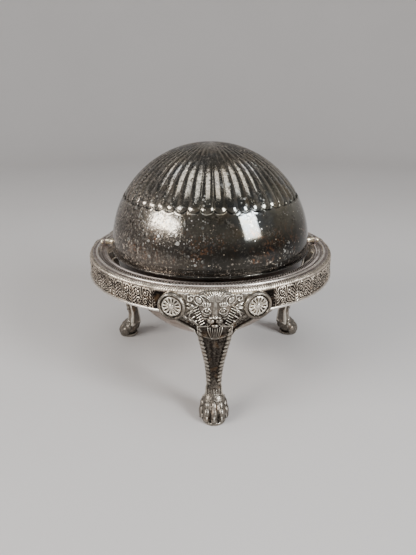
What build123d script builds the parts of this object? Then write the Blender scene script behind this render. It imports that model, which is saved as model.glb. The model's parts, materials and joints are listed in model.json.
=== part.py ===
"""Silver-plated sugar bowl: a fixed bowl in a ring on three lion legs, under a dome that turns on two pivots.

The origin is on the table, under the middle of the ring. The pivots lie along X, the front leg stands towards -Y
and +Z is up. Everything is in millimetres.
"""

from build123d import *
from math import cos, radians, sin, sqrt
import os

os.makedirs("parts", exist_ok=True)

# Heights above the table
pivot_height = 77.6
flange_top = 75.1
band_bottom = 62.2
rosette_height = 66.6

# Dome and bowl: two shells about one centre, on the pivot axis
cover_radius = 56.6
cover_wall = 1.0
cover_skirt = 2.3
bowl_radius = 54.6
bowl_wall = 1.0
bowl_lip = 3.6
rim_wire_radius = 0.6
lip_wire_radius = 0.5

# Ring: a flat flange, and a band round it with a rounded shoulder
ring_outer = 69.8
ring_inner = 59.7
ring_wall = 1.2
shoulder_radius = 1.8
bead_radius = 65.6
bead_half_width = 0.75
bead_chamfer = 0.3
edge_wire_radius = 0.8
lug_radius = 4.0
lug_reach = 57.9

# Pivot stack, as distances from the middle along X
screw_radius = 1.1
running_clearance = 0.05
screw_end = 50.2
nut_inner = 50.9
nut_seat = 52.95
nut_washer_seat = 53.5
gap_washer_inner = 54.65
gap_washer_outer = 55.25
bush_inner = 55.45
bush_barrel_radius = 1.75
bush_flange_outer = 57.4
bush_flange_radius = 2.3
spacer_inner = 57.55
spacer_radius = 1.55
spacer_end_radius = 1.9
eye_inner = 61.35
eye_outer = 62.45
eye_radius = 2.4
eye_foot_thickness = 0.5
head_radius = 1.5
head_middle = 63.1
washer_radius = 2.4
nut_flats = 4.0
bush_chamfer = 0.25
screw_chamfer = 0.3
eye_foot_length = 3.4
spacer_outer_radius = 1.8

# Legs
leg_angles = {"front": 0, "rear_right": 120, "rear_left": 240}
rosette_angle = 16.5
rosette_radius = 5.0
collar_radius = 6.7
collar_reach = 72.0
collar_floor = 70.9
arm_reach = 71.3
stud_radius = 1.2
stud_hole_radius = 1.25
stud_nut_seat = 68.5
stud_nut_thickness = 1.6
stud_end = 66.2
paw_middle = 65.0
paw_base_thickness = 1.5
casting_wall = 1.7

pivot_axis = Axis((0, 0, pivot_height), (1, 0, 0))


def finish(part, name):
    """Names a piece and writes it."""
    part.label = name
    export_step(part, f"parts/{name}.step")


def finish_pair(part, name):
    """Writes a piece of the right-hand pivot and its mirror image at the left-hand one."""
    finish(part, f"{name}_right")
    with BuildPart() as other:
        add(part)
        mirror(about=Plane.YZ, mode=Mode.REPLACE)
    finish(other.part, f"{name}_left")


def stack_plane(distance):
    """A plane across the pivot axis, facing away from the middle."""
    return Plane(origin=(distance, 0, pivot_height), x_dir=(0, 1, 0), z_dir=(1, 0, 0))


def stud_plane(angle, distance):
    """A plane across a stud of the front leg, facing outwards. The angle is measured from -Y towards +X."""
    outwards = Vector(sin(radians(angle)), -cos(radians(angle)), 0)
    origin = outwards * distance + Vector(0, 0, rosette_height)
    return Plane(origin=origin, x_dir=(cos(radians(angle)), sin(radians(angle)), 0), z_dir=outwards)


def radial_plane(angle):
    """A plane through the Z axis, with its x axis outwards at the angle from -Y towards +X, and its y axis up."""
    outwards = (sin(radians(angle)), -cos(radians(angle)), 0)
    return Plane(origin=(0, 0, 0), x_dir=outwards, z_dir=(-cos(radians(angle)), -sin(radians(angle)), 0))


def half_round(middle, radius, flat_direction):
    """Half of a circle in the XZ plane. Its flat side passes through the middle along the flat direction."""
    along = Vector(*flat_direction) * radius
    points = [Vector(*middle) + along.rotate(Axis.Z, 22.5 * k) for k in range(9)]
    with BuildSketch(Plane.XZ) as section:
        with BuildLine():
            for k in (0, 2, 4, 6):
                ThreePointArc(points[k], points[k + 1], points[k + 2])
            Line(points[8], points[0])
        make_face()
    return section.sketch


# ---- the dome ----

cover_rim = pivot_height - cover_skirt

with BuildPart() as cover:
    with BuildSketch(Plane.XZ):
        with Locations((0, pivot_height)):
            Circle(cover_radius)
            Circle(cover_radius - cover_wall, mode=Mode.SUBTRACT)
        with Locations((0, cover_rim)):
            Rectangle(cover_radius, cover_radius + cover_skirt, align=Align.MIN, mode=Mode.INTERSECT)
    revolve(axis=Axis.Z)
    with BuildSketch(stack_plane(-cover_radius - 1)):
        Circle(bush_barrel_radius)
    extrude(amount=2 * cover_radius + 2, mode=Mode.SUBTRACT)
finish(cover.part, "cover")

with BuildPart() as cover_rim_wire:
    revolve(half_round((cover_radius, cover_rim + rim_wire_radius), rim_wire_radius, (0, -1)), axis=Axis.Z)
    with BuildSketch(stack_plane(-cover_radius - 2)):
        Circle(bush_flange_radius)
    extrude(amount=2 * cover_radius + 4, mode=Mode.SUBTRACT)
finish(cover_rim_wire.part, "cover_rim_wire")

with BuildPart() as cover_bush:
    with BuildSketch(stack_plane(bush_inner)):
        Circle(bush_barrel_radius)
    extrude(amount=bush_flange_outer - bush_inner)
    with BuildSketch(stack_plane(cover_radius)):
        Circle(bush_flange_radius)
    extrude(amount=bush_flange_outer - cover_radius)
    chamfer(cover_bush.faces().sort_by(Axis.X)[-1].edges(), bush_chamfer)
    with BuildSketch(stack_plane(bush_inner)):
        Circle(screw_radius + running_clearance)
    extrude(amount=bush_flange_outer - bush_inner, mode=Mode.SUBTRACT)
finish_pair(cover_bush.part, "cover_bush")

# ---- the bowl ----

bowl_rim = pivot_height + bowl_lip

with BuildPart() as bowl:
    with BuildSketch(Plane.XZ):
        with Locations((0, pivot_height)):
            Circle(bowl_radius)
            Circle(bowl_radius - bowl_wall, mode=Mode.SUBTRACT)
        with Locations((0, pivot_height - bowl_radius)):
            Rectangle(bowl_radius, bowl_radius + bowl_lip, align=Align.MIN, mode=Mode.INTERSECT)
    revolve(axis=Axis.Z)
    with BuildSketch(stack_plane(-bowl_radius - 1)):
        Circle(screw_radius + running_clearance)
    extrude(amount=2 * bowl_radius + 2, mode=Mode.SUBTRACT)
finish(bowl.part, "bowl")

# The mouth of the bowl is a little narrower than its inner sphere, because the lip stands above the middle
mouth_radius = sqrt((bowl_radius - bowl_wall) ** 2 - bowl_lip**2)

with BuildPart() as bowl_rim_wire:
    revolve(half_round((mouth_radius, bowl_rim - lip_wire_radius), lip_wire_radius, (0, 1)), axis=Axis.Z)
finish(bowl_rim_wire.part, "bowl_rim_wire")

# ---- the ring ----

band_inner = ring_outer - ring_wall
# The shoulder rounds the band's top over; at the band's inner face it is this far below the flange's top
shoulder_rise = shoulder_radius - sqrt(shoulder_radius**2 - (shoulder_radius - ring_wall) ** 2)

with BuildPart() as ring_flange:
    with BuildSketch(Plane.XY.offset(flange_top - ring_wall)):
        Circle(band_inner)
        Circle(ring_inner, mode=Mode.SUBTRACT)
        with Locations((lug_reach + lug_radius, 0), (-lug_reach - lug_radius, 0)):
            Circle(lug_radius)
    extrude(amount=ring_wall)
finish(ring_flange.part, "ring_flange")

with BuildPart() as ring_band:
    with BuildSketch(Plane.XZ):
        with BuildLine():
            Polyline(
                (ring_outer, flange_top - shoulder_radius),
                (ring_outer, band_bottom),
                (band_inner, band_bottom),
                (band_inner, flange_top - shoulder_rise),
            )
            RadiusArc(
                (band_inner, flange_top - shoulder_rise),
                (ring_outer, flange_top - shoulder_radius),
                shoulder_radius,
            )
        make_face()
    revolve(axis=Axis.Z)
    for leg_angle in leg_angles.values():
        for side in (-1, 1):
            with BuildSketch(stud_plane(leg_angle + side * rosette_angle, stud_end)):
                Circle(stud_hole_radius)
            extrude(amount=collar_reach - stud_end, mode=Mode.SUBTRACT)
finish(ring_band.part, "ring_band")

bead_inner = bead_radius - bead_half_width
bead_outer = bead_radius + bead_half_width
bead_top = flange_top + bead_half_width

with BuildPart() as ring_bead_wire:
    with BuildSketch(Plane.XZ):
        with BuildLine():
            Polyline(
                (bead_inner, flange_top),
                (bead_outer, flange_top),
                (bead_outer, bead_top - bead_chamfer),
                (bead_outer - bead_chamfer, bead_top),
                (bead_inner + bead_chamfer, bead_top),
                (bead_inner, bead_top - bead_chamfer),
                (bead_inner, flange_top),
            )
        make_face()
    revolve(axis=Axis.Z)
finish(ring_bead_wire.part, "ring_bead_wire")

with BuildPart() as ring_edge_wire:
    revolve(half_round((ring_outer, band_bottom + edge_wire_radius), edge_wire_radius, (0, -1)), axis=Axis.Z)
finish(ring_edge_wire.part, "ring_edge_wire")

# ---- the pivots ----

with BuildPart() as screw_head:
    with Locations((head_middle, 0, pivot_height)):
        Sphere(head_radius)
    split(bisect_by=stack_plane(eye_outer), keep=Keep.TOP)

with BuildPart() as pivot_screw:
    with BuildSketch(stack_plane(screw_end)):
        Circle(screw_radius)
    extrude(amount=eye_outer - screw_end)
    chamfer(pivot_screw.faces().sort_by(Axis.X)[0].edges(), screw_chamfer)
    add(screw_head.part)
finish_pair(pivot_screw.part, "pivot_screw")

with BuildPart() as pivot_spacer:
    with BuildSketch(Plane.XZ):
        with BuildLine():
            Spline(
                (spacer_inner, pivot_height + spacer_end_radius),
                ((spacer_inner + eye_inner) / 2, pivot_height + spacer_radius),
                (eye_inner, pivot_height + spacer_outer_radius),
            )
            Polyline(
                (eye_inner, pivot_height + spacer_outer_radius),
                (eye_inner, pivot_height + screw_radius),
                (spacer_inner, pivot_height + screw_radius),
                (spacer_inner, pivot_height + spacer_end_radius),
            )
        make_face()
    revolve(axis=pivot_axis)
finish_pair(pivot_spacer.part, "pivot_spacer")

with BuildPart() as pivot_eye:
    with BuildSketch(stack_plane(eye_inner)):
        Circle(eye_radius)
        with Locations((0, -(pivot_height - flange_top) / 2)):
            Rectangle(2 * eye_radius, pivot_height - flange_top)
        Circle(screw_radius, mode=Mode.SUBTRACT)
    extrude(amount=eye_outer - eye_inner)
    with BuildSketch(Plane.XY.offset(flange_top)):
        with Locations(((eye_inner + eye_outer) / 2, 0)):
            Rectangle(eye_foot_length, 2 * eye_radius)
    extrude(amount=eye_foot_thickness)
finish_pair(pivot_eye.part, "pivot_eye")

with BuildPart() as gap_washers:
    with BuildSketch(stack_plane(gap_washer_inner)):
        Circle(washer_radius)
        Circle(screw_radius, mode=Mode.SUBTRACT)
    extrude(amount=gap_washer_outer - gap_washer_inner)
    mirror(about=Plane.YZ)
finish(gap_washers.part, "gap_washers")

with BuildPart() as nut_washers:
    with BuildSketch(stack_plane(nut_seat)):
        Circle(washer_radius)
        Circle(screw_radius, mode=Mode.SUBTRACT)
    extrude(amount=nut_washer_seat - nut_seat)
    mirror(about=Plane.YZ)
finish(nut_washers.part, "nut_washers")

with BuildPart() as pivot_nuts:
    with BuildSketch(stack_plane(nut_inner)):
        RegularPolygon(nut_flats / 2, 6, major_radius=False)
        Circle(screw_radius, mode=Mode.SUBTRACT)
    extrude(amount=nut_seat - nut_inner)
    mirror(about=Plane.YZ)
finish(pivot_nuts.part, "pivot_nuts")

# ---- the legs, each made as the front one and turned into its place ----

# The strap's outlines, from the top down in front and from the bottom up at the back: distance from the middle, height
strap_front = [(72.2, 66), (71.6, 58), (69.6, 48), (66.2, 37), (62.8, 26), (61.0, 17.5), (63.2, 12), (68.2, 8)]
strap_back = [(58.6, 3), (57.7, 10), (58.0, 17.5), (59.9, 26), (63.1, 37), (66.5, 48), (68.6, 58), (69.2, 66)]
# Half of its width at each height
strap_widths = [(8.5, 66), (8.4, 55), (7.7, 50.6), (5.7, 39.6), (4.1, 27.6), (3.7, 21.6), (4.5, 16.6), (7.4, 10.6)]
# Reaches past every part of a leg, for the cuts
beyond_legs = 80
toe_reach = 70.4
toe_height = 4.5
sole_half_width = 5.6
strap_reach = 20
hollow_bottom = 20


def side_outline(shift):
    """Side view of the strap in the YZ plane, moved towards the middle by the shift."""
    front = [(shift - reach, height) for reach, height in strap_front]
    back = [(shift - reach, height) for reach, height in strap_back]
    with BuildSketch(Plane.YZ) as outline:
        with BuildLine():
            Spline(front)
            Polyline(
                front[-1],
                (shift - toe_reach, toe_height),
                (shift - toe_reach, 0),
                (back[0][0], 0),
                back[0],
            )
            Spline(back)
            Line(back[-1], front[0])
        make_face()
    return outline.sketch


def front_outline(inset, bottom):
    """Front view of the strap in the XZ plane, narrowed by the inset, down to the bottom height."""
    right = [(half - inset, height) for half, height in strap_widths if height > bottom]
    if bottom == 0:
        right.append((sole_half_width, 0))
    left = [(-half, height) for half, height in reversed(right)]
    with BuildSketch(Plane.XZ) as outline:
        with BuildLine():
            Spline(right)
            Line(right[-1], left[0])
            Spline(left)
            Line(left[-1], right[0])
        make_face()
    return outline.sketch


with BuildPart() as strap:
    extrude(front_outline(0, 0), amount=beyond_legs)
    extrude(side_outline(0), amount=strap_reach, both=True, mode=Mode.INTERSECT)

with BuildPart() as strap_hollow:
    extrude(front_outline(casting_wall, hollow_bottom), amount=beyond_legs)
    extrude(side_outline(casting_wall), amount=strap_reach, both=True, mode=Mode.INTERSECT)

# The two arms, a curved plate that follows the band and hangs below it in the middle
arm_top = 73.3
arm_bottom = 52
casting_inner = 69.0

# Front view of the plate's lower edge on the right, from the middle out: distance across, height
arm_edge = [(8, arm_bottom), (10, 54.6), (16.5, 58.1), (22, 62)]

with BuildPart() as arms:
    with BuildSketch(radial_plane(-rosette_angle)):
        with Locations((casting_inner, arm_bottom)):
            Rectangle(arm_reach - casting_inner, arm_top - arm_bottom, align=Align.MIN)
    revolve(axis=Axis.Z, revolution_arc=2 * rosette_angle)
    with BuildSketch(Plane.XZ):
        with BuildLine():
            right = Spline(arm_edge)
            left = Spline([(-across, height) for across, height in arm_edge])
            Line(left @ 0, right @ 0)
            Polyline(right @ 1, ((right @ 1).X, arm_top), ((left @ 1).X, arm_top), left @ 1)
        make_face()
    extrude(amount=beyond_legs, mode=Mode.INTERSECT)


# The mask's bulge is lofted through ellipses: distance from the middle, half width, half height, height of its middle
mask_sections = [(casting_inner, 9.6, 9.7, 66.3), (71.2, 8.6, 9.0, 66.1), (72.6, 4.6, 6.0, 64.6)]
ear_places = [(7.2, -70.6, 71.2), (-7.2, -70.6, 71.2)]
ear_size = 2.2
nose_place = (0, -70.9, 62.4)
nose_size = 1.8
toe_places = [(5.3, -66.3, 3.2), (1.8, -68.1, 3.2), (-1.8, -68.1, 3.2), (-5.3, -66.3, 3.2)]
toe_size = 2.6
foot_radius = 5.9
recess_clearance = 0.3

with BuildPart() as casting:
    add(strap.part)
    add(strap_hollow.part, mode=Mode.SUBTRACT)
    add(arms.part)
    for reach, half_width, half_height, height in mask_sections:
        with BuildSketch(Plane(origin=(0, -reach, height), x_dir=(1, 0, 0), z_dir=(0, -1, 0))):
            Ellipse(half_width, half_height)
    loft()
    with Locations(*ear_places):
        Sphere(ear_size)
    with Locations(nose_place):
        Sphere(nose_size)
    for side in (-1, 1):
        with BuildSketch(stud_plane(side * rosette_angle, casting_inner)):
            Circle(collar_radius)
        extrude(amount=collar_reach - casting_inner)
        with BuildSketch(stud_plane(side * rosette_angle, collar_floor)):
            Circle(rosette_radius + recess_clearance)
        extrude(amount=collar_reach - collar_floor, mode=Mode.SUBTRACT)
        with BuildSketch(stud_plane(side * rosette_angle, stud_end)):
            Circle(stud_hole_radius)
        extrude(amount=collar_reach - stud_end, mode=Mode.SUBTRACT)
    with Locations(*toe_places):
        Sphere(toe_size)
    with BuildSketch(Plane.XY):
        with Locations((0, -paw_middle)):
            Circle(foot_radius)
    extrude(amount=paw_base_thickness)
    add(ring_band.part, mode=Mode.SUBTRACT)
    add(ring_edge_wire.part, mode=Mode.SUBTRACT)

for place, leg_angle in leg_angles.items():
    with BuildPart() as leg:
        add(casting.part, rotation=(0, 0, leg_angle))
    finish(leg.part, f"leg_{place}")

# ---- the rosette studs and their nuts ----

rosette_reach = 72.1
boss_reach = 72.6
boss_radius = 1.2

for place, leg_angle in leg_angles.items():
    for hand, side in (("left", -1), ("right", 1)):
        angle = leg_angle + side * rosette_angle
        with BuildPart() as rosette:
            with BuildSketch(stud_plane(angle, stud_end)):
                Circle(stud_radius)
            extrude(amount=collar_floor - stud_end)
            with BuildSketch(stud_plane(angle, collar_floor)):
                Circle(rosette_radius)
            extrude(amount=rosette_reach - collar_floor)
            with BuildSketch(stud_plane(angle, rosette_reach)):
                Circle(boss_radius)
            extrude(amount=boss_reach - rosette_reach, taper=20)
        finish(rosette.part, f"rosette_{place}_{hand}")

with BuildPart() as stud_nuts:
    for leg_angle in leg_angles.values():
        for side in (-1, 1):
            with BuildSketch(stud_plane(leg_angle + side * rosette_angle, stud_nut_seat)):
                RegularPolygon(nut_flats / 2, 6, major_radius=False)
                Circle(stud_radius, mode=Mode.SUBTRACT)
            extrude(amount=-stud_nut_thickness)
finish(stud_nuts.part, "stud_nuts")
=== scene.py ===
"""Visual model of a tarnished silver-plated sugar bowl with a revolving fluted dome and three lion-mask legs.

Shapes are worked out in millimetres in the CAD frame (pivots along X, front leg towards -Y, +Z up)
and made in metres.
"""

import json
from math import asin, cos, pi, radians, sin, sqrt

import bpy
import numpy as np
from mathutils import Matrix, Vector


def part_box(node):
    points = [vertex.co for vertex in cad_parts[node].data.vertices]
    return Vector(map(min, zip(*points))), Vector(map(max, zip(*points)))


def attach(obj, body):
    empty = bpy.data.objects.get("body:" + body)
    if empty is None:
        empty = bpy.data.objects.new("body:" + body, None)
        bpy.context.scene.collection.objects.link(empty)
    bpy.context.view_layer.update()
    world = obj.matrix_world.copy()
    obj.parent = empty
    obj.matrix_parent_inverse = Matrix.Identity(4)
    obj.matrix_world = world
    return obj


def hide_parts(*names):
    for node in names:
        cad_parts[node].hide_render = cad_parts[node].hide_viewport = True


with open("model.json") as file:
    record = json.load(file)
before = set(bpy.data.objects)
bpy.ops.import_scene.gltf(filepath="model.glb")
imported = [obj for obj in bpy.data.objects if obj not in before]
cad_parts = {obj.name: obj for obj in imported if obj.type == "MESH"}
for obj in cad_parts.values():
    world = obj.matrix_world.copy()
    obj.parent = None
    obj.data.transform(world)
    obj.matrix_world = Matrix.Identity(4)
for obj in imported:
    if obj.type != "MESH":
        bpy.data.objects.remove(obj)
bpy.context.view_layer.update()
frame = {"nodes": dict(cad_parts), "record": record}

MM = 0.001


def extent(node):
    """Lowest and highest corner of a CAD node in millimetres."""
    low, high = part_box(node)
    return np.array(low) / MM, np.array(high) / MM


pivot_z = frame["record"]["behaviour"]["joints"][0]["pos_m"][2] / MM
cover_low, cover_high = extent("cover")
dome_radius = cover_high[2] - pivot_z
flange_low, flange_high = extent("ring_flange")
flange_top = flange_high[2]
flange_bottom = flange_low[2]
band_low, band_high = extent("ring_band")
band_radius = band_high[1]
band_bottom = band_low[2]
shoulder = 1.8
shoulder_start = band_radius - shoulder
band_wall = 1.2
rosette_low, rosette_high = extent("rosette_front_right")
rosette_z = (rosette_low[2] + rosette_high[2]) / 2
rosette_radius = (rosette_high[2] - rosette_low[2]) / 2
rosette_turn = 16.5
leg_turns = {"front": 0, "rear_right": 120, "rear_left": 240}

# -------- meshes


def grid_faces(index, around=True, along=False):
    """Quads over a grid of vertex numbers, with triangles where two corners are the same vertex."""
    b = np.roll(index, -1, axis=0)
    quads = np.stack([index, b, np.roll(b, -1, axis=1), np.roll(index, -1, axis=1)], -1)
    if not around:
        quads = quads[:-1]
    if not along:
        quads = quads[:, :-1]
    quads = quads.reshape(-1, 4)
    pinched = (quads == np.roll(quads, 1, axis=1)).any(axis=1)
    faces = quads[~pinched].tolist()
    for face in quads[pinched].tolist():
        faces.append(list(dict.fromkeys(face)))
    return faces


def solid(points, around=True, along=False, poles=False):
    """(vertices, faces) of a closed surface over a grid of points [around, along, xyz], normals outwards."""
    count_u, count_v = points.shape[:2]
    if poles:
        middle = points[:, 1:-1].reshape(-1, 3)
        index = np.empty((count_u, count_v), int)
        index[:, 1:-1] = np.arange(count_u * (count_v - 2)).reshape(count_u, count_v - 2)
        index[:, 0] = len(middle)
        index[:, -1] = len(middle) + 1
        vertices = np.vstack([middle, points[0, :1], points[0, -1:]])
    else:
        index = np.arange(count_u * count_v).reshape(count_u, count_v)
        vertices = points.reshape(-1, 3)
    faces = grid_faces(index, around, along)
    fans = np.array([face[:3] for face in faces] + [[f[0], f[2], f[3]] for f in faces if len(f) == 4])
    a, b, c = (vertices[fans[:, k]] for k in range(3))
    if (a * np.cross(b, c)).sum() < 0:
        faces = [face[::-1] for face in faces]
    return vertices, faces


def joined(*shells):
    """Several shells as one list of vertices and one of faces."""
    vertices, faces, count = [], [], 0
    for points, polygons in shells:
        vertices.append(points)
        faces.extend([[corner + count for corner in face] for face in polygons])
        count += len(points)
    return np.vstack(vertices), faces


def make(name, shell, material, relief_rounds=10):
    """A shaded object from a shell. Its attribute "relief" is how far each point stands out, in mm."""
    vertices, faces = shell
    mesh = bpy.data.meshes.new(name)
    mesh.from_pydata((vertices * MM).tolist(), [], faces)
    mesh.validate()
    mesh.shade_smooth()
    add_relief(mesh, relief_rounds)
    mesh.materials.append(material)
    obj = bpy.data.objects.new(name, mesh)
    bpy.context.scene.collection.objects.link(obj)
    return obj


def add_relief(mesh, rounds):
    """Compares each vertex with a smoothed copy of the surface."""
    count = len(mesh.vertices)
    points = np.empty(count * 3)
    mesh.vertices.foreach_get("co", points)
    points = points.reshape(-1, 3)
    normals = np.empty(count * 3)
    mesh.vertex_normals.foreach_get("vector", normals)
    normals = normals.reshape(-1, 3)
    edges = np.empty(len(mesh.edges) * 2, int)
    mesh.edges.foreach_get("vertices", edges)
    edges = edges.reshape(-1, 2)
    ends = np.concatenate([edges[:, 0], edges[:, 1]])
    others = np.concatenate([edges[:, 1], edges[:, 0]])
    valence = np.maximum(np.bincount(ends, minlength=count), 1)
    smooth = points.copy()
    for _ in range(rounds):
        for axis in range(3):
            total = np.bincount(ends, weights=smooth[others, axis], minlength=count)
            smooth[:, axis] = (smooth[:, axis] + total / valence) / 2
    relief = ((points - smooth) * normals).sum(axis=1) / MM
    attribute = mesh.attributes.new("relief", "FLOAT", "POINT")
    attribute.data.foreach_set("value", relief.astype(np.float32))


def filleted(corners, cut, rounds=3, closed=True):
    """A profile with its corners rounded off over the length of the cut."""
    points = []
    count = len(corners)
    for k, corner in enumerate(corners):
        corner = np.array(corner, float)
        if not closed and k in (0, count - 1):
            points.append(corner)
            continue
        before = np.array(corners[k - 1], float)
        after = np.array(corners[(k + 1) % count], float)
        for other, first in ((before, True), (after, False)):
            length = np.linalg.norm(other - corner)
            step = (other - corner) / length * min(cut, length * 0.4)
            if first:
                points.extend([corner + step, corner])
            else:
                points.append(corner + step)
    for _ in range(rounds):
        finer = []
        last = len(points) if closed else len(points) - 1
        for k in range(last):
            a, b = points[k], points[(k + 1) % len(points)]
            finer.extend([a * 0.75 + b * 0.25, a * 0.25 + b * 0.75])
        if not closed:
            finer = [points[0]] + finer + [points[-1]]
        points = finer
    kept = [points[0]]
    for point in points[1:]:
        if np.linalg.norm(point - kept[-1]) > 0.03:
            kept.append(point)
    return np.array(kept)


def turned(profile, count, poles=False):
    """A body of revolution about Z from a profile of (radius, height)."""
    turn = np.linspace(0, 2 * pi, count, endpoint=False)[:, None]
    radius, height = profile[None, :, 0], profile[None, :, 1]
    points = np.stack([radius * np.sin(turn), -radius * np.cos(turn), height + 0 * turn], -1)
    return solid(points, along=not poles, poles=poles)


def on_stud(shell, turn_degrees):
    """Turns a body made about Z so that its axis points outwards through a rosette."""
    points, faces = shell
    turn = radians(turn_degrees)
    out = np.array([sin(turn), -cos(turn), 0])
    side = np.array([cos(turn), sin(turn), 0])
    moved = points[:, 2:] * out + points[:, :1] * side + points[:, 1:2] * np.array([0, 0, 1.0])
    return moved + np.array([0, 0, rosette_z]), faces


def waves(x, y, z, scale, seed):
    """Smooth noise from -1 to 1, made of a few sine waves. The scale is the wavelength in mm."""
    chance = np.random.default_rng(seed)
    total = 0
    for _ in range(7):
        direction = chance.normal(size=3)
        direction *= 2 * pi / scale * chance.uniform(0.6, 1.6) / np.linalg.norm(direction)
        total = total + np.sin(
            direction[0] * x + direction[1] * y + direction[2] * z + chance.uniform(0, 6.3)
        )
    return total / 4


def roughened(shell, depth, scale, seed):
    """Moves the points of a casting a little, as a sand mould leaves it."""
    points, faces = shell
    x, y, z = points.T
    shift = np.stack([waves(x, y, z, scale, seed + k) for k in range(3)], -1)
    return points + depth * shift, faces


# -------- relief patterns


def ridge(x, y, path, widths, heights):
    """A rounded ridge along a path. The widths are its half widths."""
    result = np.zeros_like(x)
    count = len(path)
    widths = np.interp(np.linspace(0, 1, count), np.linspace(0, 1, len(widths)), widths)
    heights = np.interp(np.linspace(0, 1, count), np.linspace(0, 1, len(heights)), heights)
    for k in range(count - 1):
        (ax, ay), (bx, by) = path[k], path[k + 1]
        dx, dy = bx - ax, by - ay
        t = np.clip(((x - ax) * dx + (y - ay) * dy) / (dx * dx + dy * dy), 0, 1)
        far = np.hypot(x - ax - t * dx, y - ay - t * dy)
        width = widths[k] + t * (widths[k + 1] - widths[k])
        height = heights[k] + t * (heights[k + 1] - heights[k])
        result = np.maximum(result, height * np.clip(1 - (far / width) ** 2, 0, 1) ** 0.7)
    return result


def bulge(x, y, cx, cy, a, b, height, power=0.5, lean=0):
    """A domed ellipse. It leans by the angle in degrees, clockwise."""
    s, c = sin(radians(lean)), cos(radians(lean))
    dx, dy = x - cx, y - cy
    across = (dx * c - dy * s) / a
    up = (dx * s + dy * c) / b
    return height * np.clip(1 - across**2 - up**2, 0, 1) ** power


def bow(points, steps=8):
    """A smooth path through three points."""
    a, b, c = (np.array(p, float) for p in points)
    control = 2 * b - (a + c) / 2
    return [tuple((1 - t) ** 2 * a + 2 * t * (1 - t) * control + t * t * c) for t in np.linspace(0, 1, steps)]


def spiral(cx, cy, start, end, first, turns, steps=26):
    """A spiral path from the start radius to the end radius, from the first angle in degrees."""
    path = []
    for t in np.linspace(0, 1, steps):
        radius = start + (end - start) * t
        angle = radians(first + 360 * turns * t)
        path.append((cx + radius * cos(angle), cy + radius * sin(angle)))
    return path


# -------- materials


class Surface:
    """A material whose nodes are added one by one."""

    def __init__(self, name):
        self.material = bpy.data.materials.new(name)
        self.material.use_nodes = True
        self.tree = self.material.node_tree
        self.shader = self.tree.nodes["Principled BSDF"]
        self.place = self.add("ShaderNodeTexCoord").outputs["Object"]

    def add(self, kind, sockets=None, **settings):
        node = self.tree.nodes.new(kind)
        for key, value in settings.items():
            setattr(node, key, value)
        for key, value in (sockets or {}).items():
            self.put(node.inputs[key], value)
        return node

    def put(self, socket, value):
        if isinstance(value, bpy.types.NodeSocket):
            self.tree.links.new(value, socket)
        else:
            socket.default_value = value

    def noise(self, size, detail=4.0, rough=0.55, distortion=0.0):
        """Cloudy noise from 0 to 1, whose features are about the size in mm."""
        return self.add(
            "ShaderNodeTexNoise",
            {
                "Vector": self.place,
                "Scale": 1000.0 / size,
                "Detail": detail,
                "Roughness": rough,
                "Distortion": distortion,
            },
        ).outputs["Fac"]

    def steps(self, value, low, high, bottom=0.0, top=1.0):
        """The value stretched from low..high to bottom..top, smoothly and clamped."""
        return self.add(
            "ShaderNodeMapRange",
            {"Value": value, "From Min": low, "From Max": high, "To Min": bottom, "To Max": top},
            interpolation_type="SMOOTHSTEP",
        ).outputs["Result"]

    def sum(self, operation, a, b):
        return self.add("ShaderNodeMath", {0: a, 1: b}, operation=operation).outputs[0]

    def mix(self, amount, a, b, blend="MIX"):
        node = self.add("ShaderNodeMix", data_type="RGBA", blend_type=blend)
        colours = [socket for socket in node.inputs if socket.type == "RGBA"]
        self.put(node.inputs["Factor"], amount)
        self.put(colours[0], a)
        self.put(colours[1], b)
        return [socket for socket in node.outputs if socket.type == "RGBA"][0]

    def spots(self, size, radius, seed_shift):
        """Round spots: 1 inside, 0 outside. The size is that of a cell in mm, the radius a share of it."""
        shifted = self.add("ShaderNodeVectorMath", {0: self.place, 1: (seed_shift, 0, 0)}, operation="ADD")
        place = shifted.outputs[0]
        cells = self.add("ShaderNodeTexVoronoi", {"Vector": place, "Scale": 1000.0 / size})
        chance = self.add("ShaderNodeSeparateColor", {"Color": cells.outputs["Color"]})
        reach = self.steps(chance.outputs["Red"], 0.2, 1.0, 0.05, radius)
        inside = self.sum("SUBTRACT", reach, cells.outputs["Distance"])
        return self.steps(inside, 0.0, 0.05), chance.outputs["Green"]

    def relief(self, low, high):
        value = self.add("ShaderNodeAttribute", attribute_name="relief").outputs["Fac"]
        return self.steps(value, low, high)

    def height(self):
        """Separate X, Y and Z of the place."""
        return self.add("ShaderNodeSeparateXYZ", {"Vector": self.place}).outputs

    def bump(self, value, depth, strength=1.0):
        """Bump of the depth in mm."""
        node = self.add("ShaderNodeBump", {"Height": value, "Distance": depth * MM, "Strength": strength})
        self.put(self.shader.inputs["Normal"], node.outputs["Normal"])

    def done(self, colour, roughness):
        self.put(self.shader.inputs["Base Color"], colour)
        self.put(self.shader.inputs["Roughness"], roughness)
        self.shader.inputs["Metallic"].default_value = 1.0
        return self.material


def rgb(r, g, b):
    return (r, g, b, 1.0)


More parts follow.
